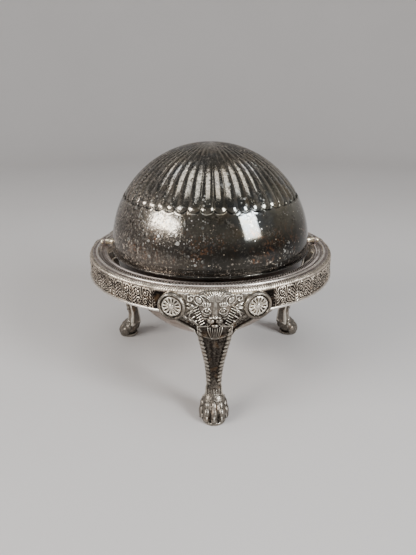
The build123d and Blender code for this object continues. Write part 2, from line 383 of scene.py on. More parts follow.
def cast_metal(
    name, high, middle, dark, low_edge, high_edge, rough,
    grime=0.5, patch=9, stain=0.5, painted_top_light=0.0, painted_top_light_z=(0.056, 0.07),
):
    """Plate on a casting or a stamping, scratched: bright where it stands out and dark in its recesses,
    partly as tarnish and rubbed high points and partly as painted highlight and painted shade.

    Relief in mm from the low edge to the high edge goes from dark to high.
    Above a given height the plate is brightened as painted light, where it faces the light from above.
    """
    s = Surface(name)
    clouds = s.noise(patch, 5, 0.6)
    fine = s.noise(0.9, 4, 0.65)
    relief = s.relief(low_edge, high_edge)
    shift = s.sum("MULTIPLY", s.sum("SUBTRACT", fine, 0.5), grime)
    level = s.sum("ADD", s.sum("ADD", relief, shift), s.steps(s.height()[2], *painted_top_light_z, 0.0, painted_top_light))
    # Painted highlight: the paws are brightened below about 13 to 21 mm
    level = s.sum("ADD", level, s.steps(s.height()[2], 0.021, 0.013, 0.0, 0.25))
    # Painted shade in the recesses and painted highlight on what stands out, laid over the tarnish and the
    # rubbed high points
    tone = s.mix(s.steps(level, 0.05, 0.5), dark, middle)
    tone = s.mix(s.steps(level, 0.5, 1.0), tone, high)
    stained = s.mix(s.steps(clouds, 0.46, 0.6, 0.0, stain), tone, s.mix(0.6, tone, dark))
    warm = s.mix(
        s.steps(s.noise(5, 3), 0.55, 0.75, 0.0, 0.35), stained, s.mix(0.5, stained, rgb(0.5, 0.3, 0.16))
    )
    specks, _ = s.spots(1.1, 0.28, 0.31)
    colour = s.mix(s.sum("MULTIPLY", specks, 0.5), warm, dark)
    roughness = s.steps(level, 0.0, 1.0, rough + 0.25, rough)
    roughness = s.sum("ADD", roughness, s.steps(clouds, 0.3, 0.8, -0.04, 0.1))
    s.bump(s.sum("ADD", fine, s.noise(0.35, 3)), 0.03, 0.6)
    return s.done(colour, roughness)


def dome_metal():
    """Polished plate, dark partly with tarnish and partly as a painted dark reflection of a dark room,
    darkest towards the rim: grainy tarnish on the crown and left, water spots, pin spots and copper.
    """
    s = Surface("dome_plate_tarnished_painted_dark")
    x, y, z = s.height()
    clouds = s.noise(22, 5, 0.6, 0.6)
    fine = s.noise(1.1, 5, 0.7)
    grain = s.noise(1.2, 3, 0.65)
    low = s.steps(z, 0.112, 0.086)
    base = s.mix(s.steps(clouds, 0.36, 0.66), rgb(0.15, 0.148, 0.125), rgb(0.29, 0.28, 0.225))
    tint = s.mix(s.steps(s.noise(13, 3), 0.42, 0.6), rgb(0.24, 0.29, 0.34), rgb(0.38, 0.30, 0.19))
    base = s.mix(s.steps(s.noise(17, 2), 0.45, 0.62, 0.05, 0.45), base, tint)
    # Painted dark reflection: towards the rim the dome is darkened nearly to black
    base = s.mix(s.sum("MULTIPLY", low, 0.93), base, rgb(0.026, 0.024, 0.022))
    # The left of the dome and its crown are hazy and grainy
    leftward = s.steps(s.sum("SUBTRACT", s.sum("MULTIPLY", z, 0.6), x), 0.05, 0.112)
    crown = s.steps(z, 0.104, 0.128)
    haze = s.sum("MAXIMUM", leftward, s.sum("MULTIPLY", crown, 0.75))
    patchy = s.sum("MULTIPLY", haze, s.steps(s.noise(4.5, 4), 0.3, 0.6, 0.45, 1.0))
    base = s.mix(s.sum("MULTIPLY", patchy, 0.7), base, rgb(0.33, 0.285, 0.25))
    amount = s.sum("ADD", s.sum("MULTIPLY", patchy, 0.9), s.steps(s.noise(7, 3), 0.5, 0.65, 0.06, 0.5))
    dirt = s.sum("MULTIPLY", s.steps(grain, 0.525, 0.59), amount)
    light = s.sum("MULTIPLY", s.steps(grain, 0.44, 0.37), amount)
    base = s.mix(dirt, base, rgb(0.03, 0.024, 0.02))
    base = s.mix(s.sum("MULTIPLY", light, 0.85), base, rgb(0.62, 0.55, 0.46))
    # Coppery patches, in a belt over the rim
    belt = s.sum("MULTIPLY", s.steps(z, 0.079, 0.085), s.steps(z, 0.101, 0.092))
    where = s.steps(s.noise(11, 2), 0.46, 0.6)
    copper = s.sum("MULTIPLY", s.sum("MULTIPLY", belt, where), s.steps(s.noise(1.7, 5, 0.75), 0.5, 0.62))
    base = s.mix(s.sum("MULTIPLY", copper, 0.75), base, rgb(0.26, 0.135, 0.075))
    # Water spots of three sizes, thick on the left of the middle
    middle = s.sum("MULTIPLY", s.steps(z, 0.083, 0.092), s.steps(z, 0.121, 0.108))
    thick = s.sum(
        "MULTIPLY", s.sum("MULTIPLY", middle, s.steps(x, 0.014, -0.012)), s.steps(x, -0.052, -0.034)
    )
    wet = s.sum("MAXIMUM", s.sum("MULTIPLY", thick, 0.9), s.steps(s.noise(12, 3), 0.5, 0.62))
    pale = 0.0
    for size, reach, shift in ((4.2, 0.3, 0.0), (2.3, 0.36, 0.37), (1.1, 0.4, 0.71)):
        rings, shade = s.spots(size, reach, shift)
        spot = s.sum("MULTIPLY", s.sum("MULTIPLY", rings, wet), s.steps(shade, 0.1, 1.0, 0.15, 0.95))
        pale = s.sum("MAXIMUM", pale, spot)
    base = s.mix(pale, base, rgb(0.46, 0.46, 0.43))
    # Pin-bright specks, in clusters
    pins, pin_shade = s.spots(1.25, 0.3, 0.57)
    clusters = s.sum("MAXIMUM", s.sum("MULTIPLY", thick, 0.8), s.steps(s.noise(8, 2), 0.52, 0.6))
    bright = s.sum("MULTIPLY", s.sum("MULTIPLY", pins, clusters), s.steps(pin_shade, 0.5, 0.7))
    base = s.mix(bright, base, rgb(0.98, 0.86, 0.66))
    # Painted shade: the grooves between the flutes are darkened
    groove_shade = s.relief(-0.11, -0.01)
    base = s.mix(groove_shade, s.mix(0.7, base, rgb(0.04, 0.035, 0.03)), base)
    roughness = s.sum("ADD", s.steps(clouds, 0.3, 0.75, 0.06, 0.13), s.sum("MULTIPLY", patchy, 0.1))
    roughness = s.sum("ADD", roughness, s.sum("MULTIPLY", pale, 0.3))
    roughness = s.sum("ADD", roughness, s.sum("MULTIPLY", s.sum("ADD", dirt, light), 0.15))
    pits = s.sum("SUBTRACT", s.sum("MULTIPLY", fine, patchy), dirt)
    s.bump(s.sum("ADD", pits, s.sum("MULTIPLY", s.noise(6, 2), 0.6)), 0.03, 0.6)
    return s.done(base, roughness)


def plain_metal(name, pale, dull, dark, rough, shadow_from=None):
    """Turned or spun metal with cloudy tarnish, dark flecks and fine scratches; above an optional height, a
    painted shadow on the outside of the bowl.
    """
    s = Surface(name)
    clouds = s.noise(6, 5, 0.65)
    fine = s.noise(0.7, 4)
    colour = s.mix(s.steps(clouds, 0.35, 0.68), pale, dull)
    colour = s.mix(s.steps(fine, 0.52, 0.75, 0.0, 0.55), colour, dark)
    specks, _ = s.spots(1.3, 0.25, 0.11)
    colour = s.mix(s.sum("MULTIPLY", specks, 0.4), colour, dark)
    if shadow_from:
        # Painted shadow: black on the outside of the bowl above the height, where the dome and ring shade the
        # gap
        centre = (0, 0, pivot_z / 1000)
        away = s.add("ShaderNodeVectorMath", {0: s.place, 1: centre}, operation="DISTANCE").outputs["Value"]
        outside = s.steps(away, bowl_radius - 0.0006, bowl_radius - 0.0004)
        gap_shadow = s.sum("MULTIPLY", outside, s.steps(s.height()[2], shadow_from, shadow_from + 0.004))
        colour = s.mix(gap_shadow, colour, rgb(0.03, 0.022, 0.018))
    s.bump(fine, 0.02, 0.5)
    return s.done(colour, s.steps(clouds, 0.3, 0.7, rough, rough + 0.15))


bowl_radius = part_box("bowl")[1][0]
dome_plate = dome_metal()
# The flange's tones are raised partly as painted light, for its top that faces the light from above
ring_plate = cast_metal(
    "ring_plate_worn_painted_light_and_shade", rgb(0.80, 0.72, 0.66), rgb(0.36, 0.295, 0.27), rgb(0.035, 0.022, 0.019),
    -0.06, 0.055, 0.3, 0.8,
)
# Painted light: the band is brightened over about 72 to 74 mm, towards the shoulder that faces the light from
# above
band_plate = cast_metal(
    "band_plate_worn_painted_light_and_shade",
    rgb(0.90, 0.79, 0.65),
    rgb(0.19, 0.155, 0.13),
    rgb(0.008, 0.006, 0.005),
    -0.01,
    0.11,
    0.28,
    1.1,
    patch=4.5,
    stain=0.9,
    painted_top_light=0.7,
    painted_top_light_z=(0.0722, 0.0738),
)
# Painted light brightens the mask over about 56 to 70 mm. The dark middle tone is partly tarnish and partly a
# painted dark reflection in the dished strap.
cast_plate = cast_metal(
    "cast_plate_worn_painted_light_and_shade",
    rgb(0.84, 0.79, 0.69),
    rgb(0.22, 0.195, 0.165),
    rgb(0.014, 0.010, 0.008),
    -0.16,
    0.42,
    0.22,
    0.7,
    painted_top_light=0.4,
)
# A lighter copy of the cast plate for the rosettes: their brightness is partly painted highlight
rosette_plate = cast_metal(
    "rosette_plate_worn_painted_light_and_shade", rgb(0.88, 0.82, 0.71), rgb(0.34, 0.30, 0.25), rgb(0.012, 0.008, 0.007),
    -0.12, 0.04, 0.22,
)
bright_plate = plain_metal(
    "bright_plate", rgb(0.86, 0.82, 0.75), rgb(0.66, 0.60, 0.54), rgb(0.3, 0.24, 0.2), 0.2
)
# The bowl's colours are darkened partly as painted shade for the gap under the ring; from 66 mm up its
# outside gets a black painted shadow
bowl_plate = plain_metal(
    "bowl_plate", rgb(0.42, 0.33, 0.27), rgb(0.28, 0.215, 0.175), rgb(0.12, 0.08, 0.055), 0.26, 0.066
)
pivot_metal = plain_metal(
    "pivot_metal", rgb(0.88, 0.80, 0.62), rgb(0.66, 0.57, 0.42), rgb(0.25, 0.18, 0.1), 0.2
)

# -------- the dome

FLUTES = 48
flute_end = radians(60)


def flute_depth(x, s, width):
    """Depth of the fluting at x across a flute and s below the line where the flutes end."""
    half = np.maximum(width / 2, 1e-6)
    inside = half - np.hypot(x, np.maximum(0, s + half))
    depth = 0.115 * width
    lobe = depth * np.clip(1 - np.clip(inside / half, 0, 1), 0, 1) ** 2
    groove = depth * np.exp(-((np.minimum(inside, 0) / 0.33) ** 2))
    fillet = 0.11 * np.exp(-(((inside + 0.95) / 0.28) ** 2)) * (s > -half)
    return np.where(inside >= 0, lobe, groove) - fillet


def dome_shell():
    across = np.array(
        [-0.5, -0.465, -0.42, -0.36, -0.28, -0.19, -0.095, 0, 0.095, 0.19, 0.28, 0.36, 0.42, 0.465]
    )
    turn = (np.arange(FLUTES)[:, None] + 0.5 + across[None, :]).ravel() * 2 * pi / FLUTES
    offset = np.tile(across, FLUTES)
    rim_drop = pivot_z - cover_low[2]
    crown_length = dome_radius * flute_end
    band_length = dome_radius * (pi / 2 + asin(rim_drop / dome_radius) - flute_end)
    rows = np.concatenate(
        [
            np.linspace(-crown_length, -6, 52, endpoint=False),
            np.linspace(-6, 2.2, 38, endpoint=False),
            np.linspace(2.2, band_length - 4.6, 10, endpoint=False),
            np.linspace(band_length - 4.6, band_length - 2.6, 14, endpoint=False),
            np.linspace(band_length - 2.6, band_length, 4),
        ]
    )
    polar = flute_end + rows / dome_radius
    width = 2 * pi * dome_radius * np.sin(polar) / FLUTES
    depth = flute_depth(offset[:, None] * width[None, :], rows[None, :], width[None, :])
    for line in (band_length - 4.1, band_length - 3.2):
        depth = depth + 0.07 * np.exp(-(((rows - line) / 0.16) ** 2))[None, :]
    wobble = waves(
        *[
            dome_radius * c
            for c in (np.sin(turn)[:, None] * np.sin(polar), np.cos(turn)[:, None] * np.sin(polar))
        ],
        dome_radius * np.cos(polar)[None, :],
        17,
        5,
    )
    radius = dome_radius - depth + 0.035 * wobble
    outer = np.stack(
        [
            radius * np.sin(polar) * np.sin(turn)[:, None],
            -radius * np.sin(polar) * np.cos(turn)[:, None],
            pivot_z + radius * np.cos(polar),
        ],
        -1,
    )
    inner_radius = dome_radius - 1.0
    inner_polar = np.linspace(pi / 2 + asin(rim_drop / inner_radius), 0, 22)
    inner = np.stack(
        [
            inner_radius * np.sin(inner_polar) * np.sin(turn)[:, None],
            -inner_radius * np.sin(inner_polar) * np.cos(turn)[:, None],
            pivot_z + inner_radius * np.cos(inner_polar) + 0 * turn[:, None],
        ],
        -1,
    )
    return solid(np.concatenate([outer, inner], axis=1), poles=True)


def drilled(obj, radius, reach):
    """Cuts a hole through the object along the pivot axis."""
    ring = np.array([(0.0, -reach), (radius, -reach), (radius, reach), (0.0, reach)])
    points, faces = turned(ring, 48, poles=True)
    points = np.stack([points[:, 2], points[:, 1], pivot_z - points[:, 0]], -1)
    drill = make("drill", (points, faces), bright_plate, 0)
    cut = obj.modifiers.new("hole", "BOOLEAN")
    cut.object = drill
    cut.operation = "DIFFERENCE"
    cut.solver = "EXACT"
    ready = obj.evaluated_get(bpy.context.evaluated_depsgraph_get())
    mesh = bpy.data.meshes.new_from_object(ready)
    obj.modifiers.clear()
    obj.data = mesh
    bpy.data.objects.remove(drill)


dome = make("dome_shell", dome_shell(), dome_plate, 8)
bush_hole = 1.75
drilled(dome, bush_hole, dome_radius + 3)
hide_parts("cover")
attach(dome, "dome")

wire_low, wire_high = extent("cover_rim_wire")
wire = (wire_high[2] - wire_low[2]) / 2
wire_z = (wire_high[2] + wire_low[2]) / 2


def half_round(radius, height, wire_radius, first, last, count=9):
    """Profile of a half-round wire between two angles in degrees, 0 being outwards."""
    angles = np.radians(np.linspace(first, last, count))
    return np.stack([radius + wire_radius * np.cos(angles), height + wire_radius * np.sin(angles)], -1)


def wire_piece(name, node, radius, height, wire_radius, first, last, material, body):
    obj = make(name, turned(half_round(radius, height, wire_radius, first, last), 900), material, 3)
    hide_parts(node)
    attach(obj, body)


wire_piece(
    "dome_rim_wire", "cover_rim_wire", dome_radius - 0.1, wire_z, wire, -90, 90,
    dome_plate, "dome",
)

# -------- the ring

leaf_zone_in = 59.7
bead_radius = 65.6
ROUND = 2160
BAND_ROUND = 1800
BAND_MOTIFS = 36
LEAF_MOTIFS = 60
LEAF_RADIUS = 62.3


def flange_relief(arc, radius):
    """Relief on the flange. The arc is a turn of the ring in units of one leaf motif."""
    motif = 2 * pi * LEAF_RADIUS / LEAF_MOTIFS
    x = (arc % 1.0) * motif
    y = radius - LEAF_RADIUS
    pattern = np.zeros_like(x)
    for k in range(-1, 6):
        start = k * motif / 4
        for side in (-1, 1):
            tip = (start + 1.5, side * 1.75)
            leaf = bow([(start, side * 0.25), (start + 0.6, side * 1.15), tip], 4)
            pattern = np.maximum(pattern, ridge(x, y, leaf, [0.25, 0.5, 0.2], [0.3, 0.42, 0.25]))
    pattern = np.maximum(pattern, 0.24 * np.exp(-((y / 0.2) ** 2)))
    border = np.exp(-(((radius - 60.15) / 0.22) ** 2)) + np.exp(-(((radius - 64.55) / 0.16) ** 2))
    pattern = np.maximum(pattern, 0.26 * border)
    return np.where((radius > 59.8) & (radius < 64.9), pattern - 0.16, 0)


def strokes(turn, down, count=360):
    """Fine slanting strokes between the bead and the shoulder, fading out down the band."""
    wave = 0.5 + 0.5 * np.cos(count * turn + 1.1 * down)
    fade = np.clip((down - 0.2) / 0.5, 0, 1) * np.clip((4.6 - down) / 1.2, 0, 1)
    return 0.22 * (wave**1.5 - 0.4) * fade


def flange_shell():
    turn = np.linspace(0, 2 * pi, ROUND, endpoint=False)
    lug_middle = 61.9
    lug = 4.0
    inner = np.full(ROUND, leaf_zone_in)
    for k, angle in enumerate(turn):
        off = lug_middle * abs(cos(angle))
        if off < lug:
            inner[k] = min(leaf_zone_in, lug_middle * abs(sin(angle)) - sqrt(lug**2 - off**2))
    share = np.concatenate([np.linspace(0, 0.14, 4, endpoint=False), np.linspace(0.14, 1, 34)])
    radius = inner[:, None] + (shoulder_start - inner[:, None]) * share[None, :]
    angle = turn[:, None]
    height = flange_relief(angle / (2 * pi) * LEAF_MOTIFS, radius)
    height = height + strokes(angle, radius - bead_radius - 0.8) * (radius > bead_radius + 0.7)
    height = height + 0.03 * waves(radius * np.sin(angle), radius * np.cos(angle), 0, 5, 3)
    edge = np.clip((radius - inner[:, None]) / 0.35, 0, 1)
    top = flange_top + height * edge - 0.25 * (1 - edge) ** 2
    under_share = np.array([1.0, 0.5, 0.0])
    under = inner[:, None] + (shoulder_start - inner[:, None]) * under_share
    radius = np.concatenate([radius, under], axis=1)
    top = np.concatenate([top, np.full((ROUND, 3), flange_bottom)], axis=1)
    points = np.stack([radius * np.sin(angle), -radius * np.cos(angle), top], -1)
    return solid(points, along=True)


def band_relief(arc, up):
    """Acanthus and scrolls on the band. The arc counts motifs; up is the height over the lower edge."""
    motif = 2 * pi * band_radius / BAND_MOTIFS
    x = np.abs((arc % 1.0) - 0.5) * motif
    y = up
    edge = motif / 2
    p = ridge(x, y, [(0, 1.0), (0, 10.9)], [0.62, 0.34], [0.8, 0.6])
    for k in range(6):
        base = 1.1 + 1.55 * k
        reach = 2.5 - 0.26 * k
        leaf = bow([(0.2, base), (reach * 0.62, base + 0.2), (reach, base + 1.3)], 6)
        p = np.maximum(p, ridge(x, y, leaf, [0.45, 0.74, 0.4], [0.6, 0.78, 0.55]))
    p = np.maximum(
        p, ridge(x, y, spiral(4.15, 3.75, 1.85, 0.3, 215, -1.4), [0.44, 0.58, 0.5], [0.5, 0.8, 0.75])
    )
    p = np.maximum(
        p, ridge(x, y, spiral(3.95, 7.9, 1.45, 0.25, 120, 1.3), [0.4, 0.52, 0.45], [0.5, 0.75, 0.65])
    )
    p = np.maximum(p, ridge(x, y, bow([(edge, 1.2), (4.6, 1.75), (2.6, 1.3)]), [0.6, 0.42], [0.75, 0.6]))
    p = np.maximum(p, ridge(x, y, bow([(edge, 5.8), (5.7, 7.6), (5.5, 9.9)]), [0.66, 0.6, 0.4], [0.75, 0.65]))
    for k in range(4):
        p = np.maximum(p, bulge(x, y, edge - 0.1, 2.5 + 1.0 * k, 0.62, 0.52, 0.66))
    for k in range(5):
        p = np.maximum(p, bulge(x, y, 2.0 + 0.85 * k, 10.4 + 0.25 * (k % 2), 0.5, 0.6, 0.6))
    buds = (
        (2.75, 5.75, 50), (5.2, 5.75, -35), (2.35, 8.9, 30),
        (3.9, 9.75, 80), (3.0, 2.5, 20), (5.0, 9.1, 0),
    )
    for cx, cy, lean in buds:
        p = np.maximum(p, bulge(x, y, cx, cy, 0.42, 0.72, 0.55, 0.5, lean))
    p = np.maximum(p, bulge(x, y, 4.15, 3.75, 0.55, 0.55, 0.8))
    p = np.maximum(p, bulge(x, y, 3.95, 7.9, 0.45, 0.45, 0.66))
    return p


def band_shell():
    turn = np.linspace(0, 2 * pi, BAND_ROUND, endpoint=False)[:, None]
    arc_rows = np.radians(np.linspace(90, 0, 11, endpoint=False))
    flat_rows = np.linspace(flange_top - shoulder, band_bottom, 41)
    radius = np.concatenate(
        [shoulder_start + shoulder * np.cos(arc_rows), np.full(len(flat_rows), band_radius)]
    )
    height = np.concatenate([flange_top - shoulder + shoulder * np.sin(arc_rows), flat_rows])
    out_r = np.concatenate([np.cos(arc_rows), np.ones(len(flat_rows))])
    out_z = np.concatenate([np.sin(arc_rows), np.zeros(len(flat_rows))])
    down = np.concatenate(
        [shoulder * (pi / 2 - arc_rows), shoulder * pi / 2 + flange_top - shoulder - flat_rows]
    )
    up = (height - band_bottom)[None, :]
    # The stamping is flattened out beside the rosettes, and worn unevenly elsewhere
    legs = np.degrees(turn) % 120
    off_leg = np.minimum(legs, 120 - legs)
    ragged = 0.7 * waves(turn * 70, height[None, :], 0, 3.5, 21)
    stamped = np.clip((off_leg - 23.6 + ragged) / 1.2, 0, 1)
    worn = 0.82 + 0.25 * waves(band_radius * np.sin(turn), band_radius * np.cos(turn), height[None, :], 13, 8)
    rise = np.clip((11.9 - up) / 0.7, 0, 1) * np.clip((up - 0.9) / 0.5, 0, 1)
    relief = (band_relief(turn / (2 * pi) * BAND_MOTIFS, up) * worn - 0.46) * rise * stamped
    relief = relief + strokes(turn, 2.0 + down[None, :]) + 0.03 * waves(turn * 70, height[None, :], 0, 2.1, 4)
    r = radius[None, :] + relief * out_r[None, :]
    z = height[None, :] + relief * out_z[None, :]
    back_r = np.array([band_radius - band_wall, band_radius - band_wall, shoulder_start])
    back_z = np.array([band_bottom, flange_bottom, flange_bottom])
    r = np.concatenate([r, np.tile(back_r, (BAND_ROUND, 1))], axis=1)
    z = np.concatenate([z, np.tile(back_z, (BAND_ROUND, 1))], axis=1)
    return solid(np.stack([r * np.sin(turn), -r * np.cos(turn), z], -1), along=True)


flange = make("flange_stamped", flange_shell(), ring_plate, 6)
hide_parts("ring_flange")
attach(flange, "stand")
band = make("band_stamped", band_shell(), band_plate, 8)
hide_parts("ring_band")
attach(band, "stand")

bead_low, bead_high = extent("ring_bead_wire")
bead = bead_high[2] - bead_low[2]
wire_piece(
    "bead_wire", "ring_bead_wire", bead_radius, flange_top - 0.05, bead, -10, 190,
    bright_plate, "stand",
)
edge_low, edge_high = extent("ring_edge_wire")
edge = (edge_high[2] - edge_low[2]) / 2
edge_z = (edge_high[2] + edge_low[2]) / 2
wire_piece(
    "edge_wire", "ring_edge_wire", band_radius - 0.1, edge_z, edge, -90, 90,
    bright_plate, "stand",
)

# -------- the legs

plate_ground = 70.6
plate_half = 21.5


def plate_top(x):
    return 73.4 + 1.9 * np.clip(1 - (x / 8.6) ** 2, 0, 1)


def plate_bottom(x):
    far = np.abs(x)
    return np.interp(far, [0, 8, 9, 10, 13, 16.5, 19, 22], [49.5, 51.6, 53.4, 54.6, 56.5, 58.1, 59.7, 62.0])


def mask_relief(x, z):
    """How far the lion's mask and its leaves stand out of the plate. It is the same on both sides."""
    a = np.abs(x)
    h = bulge(a, z, 0, 65.8, 8.3, 9.8, 1.5, 0.6)
    # Brow, cheeks, muzzle and chin
    h = h + bulge(a, z, 4.1, 68.7, 2.3, 1.5, 1.0)
    h = h + bulge(a, z, 5.2, 62.3, 2.2, 2.3, 0.5, 1.0)
    h = h - bulge(a, z, 3.9, 65.5, 2.4, 1.5, 0.95, 1.0)
    bridge = ridge(a, z, [(0, 69.6), (0, 66.8), (0, 63.4)], [1.7, 2.0, 2.2], [1.75, 2.0, 2.7])
    h = np.maximum(h, bridge)
    h = np.maximum(h, bulge(a, z, 0, 62.8, 2.1, 1.4, 3.5))
    h = np.maximum(h, bulge(a, z, 2.0, 62.4, 1.1, 0.9, 2.9))
    h = np.maximum(h, bulge(a, z, 1.95, 60.5, 2.2, 1.75, 2.6))
    h = np.maximum(h, bulge(a, z, 0, 57.7, 2.0, 1.35, 2.0))
    h = h - bulge(a, z, 0.95, 61.85, 0.5, 0.36, 1.1, 1.0)
    h = h - 0.8 * np.exp(-(((z - 59.05 + 0.1 * a * a) / 0.3) ** 2)) * (a < 3.3)
    h = h - 0.5 * np.exp(-((a / 0.22) ** 2)) * (z > 59.2) * (z < 61.6)
    h = h - ridge(a, z, bow([(7.4, 64.0), (5.6, 62.7), (3.6, 62.3)]), [0.42], [0.75])
    for k in range(3):
        for row in range(2):
            h = h - bulge(a, z, 1.5 + 0.75 * k, 60.9 - 0.75 * row - 0.1 * k, 0.2, 0.2, 0.3, 1.0)
    # Three creases in each brow
    for k in range(3):
        h = h - ridge(a, z, [(2.9 + 0.95 * k, 68.3), (2.6 + 1.3 * k, 70.3)], [0.28], [0.5])
    # Eyes: ball, pupil and lids
    h = np.maximum(h, bulge(a, z, 3.7, 65.45, 1.35, 0.9, 1.7))
    h = h - bulge(a, z, 3.6, 65.4, 0.4, 0.4, 0.45, 1.0)
    h = np.maximum(
        h, ridge(a, z, bow([(1.7, 65.2), (3.6, 66.85), (6.0, 65.5)]), [0.35, 0.5, 0.3], [1.7, 2.0, 1.2])
    )
    h = np.maximum(
        h, ridge(a, z, bow([(1.7, 64.9), (3.7, 63.95), (6.0, 65.2)]), [0.3, 0.5, 0.3], [1.6, 1.95, 1.2])
    )
    # Hair over the forehead
    for k in range(6):
        start = (0.5 * k, 70.1 + 0.05 * k)
        end = (1.2 * k, 75.6 - 0.1 * k * k)
        strand = bow([start, (0.72 * k, 72.9 - 0.03 * k * k), end])
        h = np.maximum(h, ridge(a, z, strand, [0.34, 0.58, 0.5], [1.75, 1.9, 1.35]))
        parting = [(start[0] + 0.28, start[1] + 0.5), (end[0] + 0.6, end[1] - 0.3)]
        h = h - ridge(a, z, parting, [0.17, 0.22], [0.3, 0.4])
    # Ears: a raised edge, a fine groove and a leaf inside
    lean_s, lean_c = sin(radians(38)), cos(radians(38))
    across = ((a - 7.5) * lean_c - (z - 70.9) * lean_s) / (2.3 - 0.25 * np.clip(z - 70.9, -3, 3) / 3)
    q = np.hypot(across, ((a - 7.5) * lean_s + (z - 70.9) * lean_c) / 3.4)
    ear = 2.3 * np.clip(1 - q**2, 0, 1) ** 0.35 - 1.1 * np.exp(-(((q - 0.66) / 0.12) ** 2)) - 0.5 * (q < 0.6)
    h = np.where(q < 1, np.maximum(h, ear), h)
    # Mane: short straight bars down each side of the face
    for k in range(8):
        t = k / 7
        x0, z0 = 9.2 - 3.2 * t, 67.0 - 8.3 * t
        bar = [(x0 - 1.05, z0 + 0.75), (x0 + 1.05, z0 - 0.75)]
        h = np.maximum(h, ridge(a, z, bar, [0.42, 0.36], [1.75, 1.35]))
    for k in range(3):
        lock = bow(
            [
                (10.4 - 0.9 * k, 64.3 - 2.2 * k),
                (11.6 - 0.9 * k, 63.5 - 2.2 * k),
                (12.1 - k, 62.1 - 2.1 * k),
            ],
            4,
        )
        h = np.maximum(h, ridge(a, z, lock, [0.5, 0.28], [1.0, 0.6]))
    # Beard
    for k in range(4):
        strand = bow([(1.15 * k, 56.9 - 0.2 * k), (1.0 * k, 54.0), (0.55 * k, 50.4)])
        h = np.maximum(h, ridge(a, z, strand, [0.4, 0.55, 0.3], [0.8, 0.75, 0.4]))
    # A pierced scroll and a leaf of three lobes between the ear and the rosette
    h = np.maximum(h, ridge(a, z, spiral(11.3, 71.2, 2.0, 0.7, 200, -1.1), [0.5, 0.6, 0.5], [0.9, 1.4, 1.3]))
    h = np.maximum(h, bulge(a, z, 11.2, 71.1, 1.5, 1.6, 0.9))
    h = h - bulge(a, z, 10.5, 71.6, 0.45, 0.5, 1.5, 1.0) - bulge(a, z, 12.0, 71.2, 0.45, 0.5, 1.4, 1.0)
    for tip, bend in (
        ((13.4, 68.6), (11.3, 67.9)),
        ((13.9, 66.2), (11.5, 66.4)),
        ((13.0, 63.6), (11.0, 64.6)),
    ):
        leaf = bow([(8.9, 66.3), bend, tip])
        h = np.maximum(h, ridge(a, z, leaf, [0.5, 1.0, 0.35], [0.7, 1.25, 0.6]))
        h = h - ridge(a, z, leaf, [0.2], [0.35])
    for k in range(3):
        tip = (12.6 + 2.0 * k, 61.9 + 0.4 * k)
        leaf = bow([(8.2 + 2.4 * k, 57.9 + 1.2 * k), (10.0 + 2.3 * k, 59.4 + 1.1 * k), tip])
        h = np.maximum(h, ridge(a, z, leaf, [0.7, 0.85, 0.3], [0.9, 1.0, 0.5]))
        h = h - ridge(a, z, leaf, [0.18], [0.3])
    # The raised rim along the lower edge
    rim = [(21, 61.6), (19, 60.1), (16.5, 58.7), (13, 57.0), (10, 55.2), (8.6, 53.2), (7.7, 51.2)]
    h = np.maximum(h, ridge(a, z, rim, [0.62], [1.15, 1.2]))
    return h


def plate_shell():
    columns, rows = 221, 128
    x = np.linspace(-plate_half, plate_half, columns)[:, None]
    share = np.linspace(0, 1, rows)[None, :]
    z = plate_bottom(x) + (plate_top(x) - plate_bottom(x)) * share
    lean = 1.3 * np.clip((z - 73.2) / 2.6, 0, 1) ** 2
    relief = mask_relief(x + 0 * z, z) + 0.05 * waves(x, z, 0 * z, 2.2, 12)
    edge = np.minimum(
        share * (plate_top(x) - plate_bottom(x)), (1 - share) * (plate_top(x) - plate_bottom(x))
    )
    rounding = 0.5 * (1 - np.clip(edge / 0.6, 0, 1)) ** 2
    front = plate_ground + relief - lean - rounding
    back = np.full_like(front, 69.2) - lean
    reach = np.concatenate([front, back[:, ::-1]], axis=1)
    height = np.concatenate([z, z[:, ::-1]], axis=1)
    angle = x / 71.0
    return capped(np.stack([reach * np.sin(angle), -reach * np.cos(angle), height], -1))


def capped(points):
    """A closed body from loops of points [along, round, xyz], with its two ends filled."""
    first = np.broadcast_to(points[0].mean(axis=0), points[0].shape)[None]
    last = np.broadcast_to(points[-1].mean(axis=0), points[-1].shape)[None]
    loops = np.concatenate([first, points, last], axis=0)
    return solid(np.swapaxes(loops, 0, 1), around=True, poles=True)


front_line = np.array(
    [(72.2, 66), (71.6, 58), (69.6, 48), (66.2, 37), (62.8, 26), (61.0, 17.5), (62.0, 12)], float
)
back_line = np.array(
    [(57.9, 10), (58.0, 17.5), (59.9, 26), (63.1, 37), (66.5, 48), (68.6, 58), (69.2, 66)], float
)
half_line = np.array(
    [
        (5.6, 9), (4.6, 14.5), (3.9, 18), (3.65, 21.6), (4.05, 27.6), (4.65, 33.6),
        (5.65, 39.6), (6.75, 45.6), (7.75, 50.6), (8.3, 54), (8.6, 58),
    ],
    float,
)  # fmt: skip


def smooth_line(line, z):
    """Reads a table of (value, height) at the heights, with its kinks rounded off."""
    order = np.argsort(line[:, 1])
    total = 0
    for shift in (-2.4, -1.2, 0, 1.2, 2.4):
        total = total + np.interp(z + shift, line[order, 1], line[order, 0])
    return total / 5


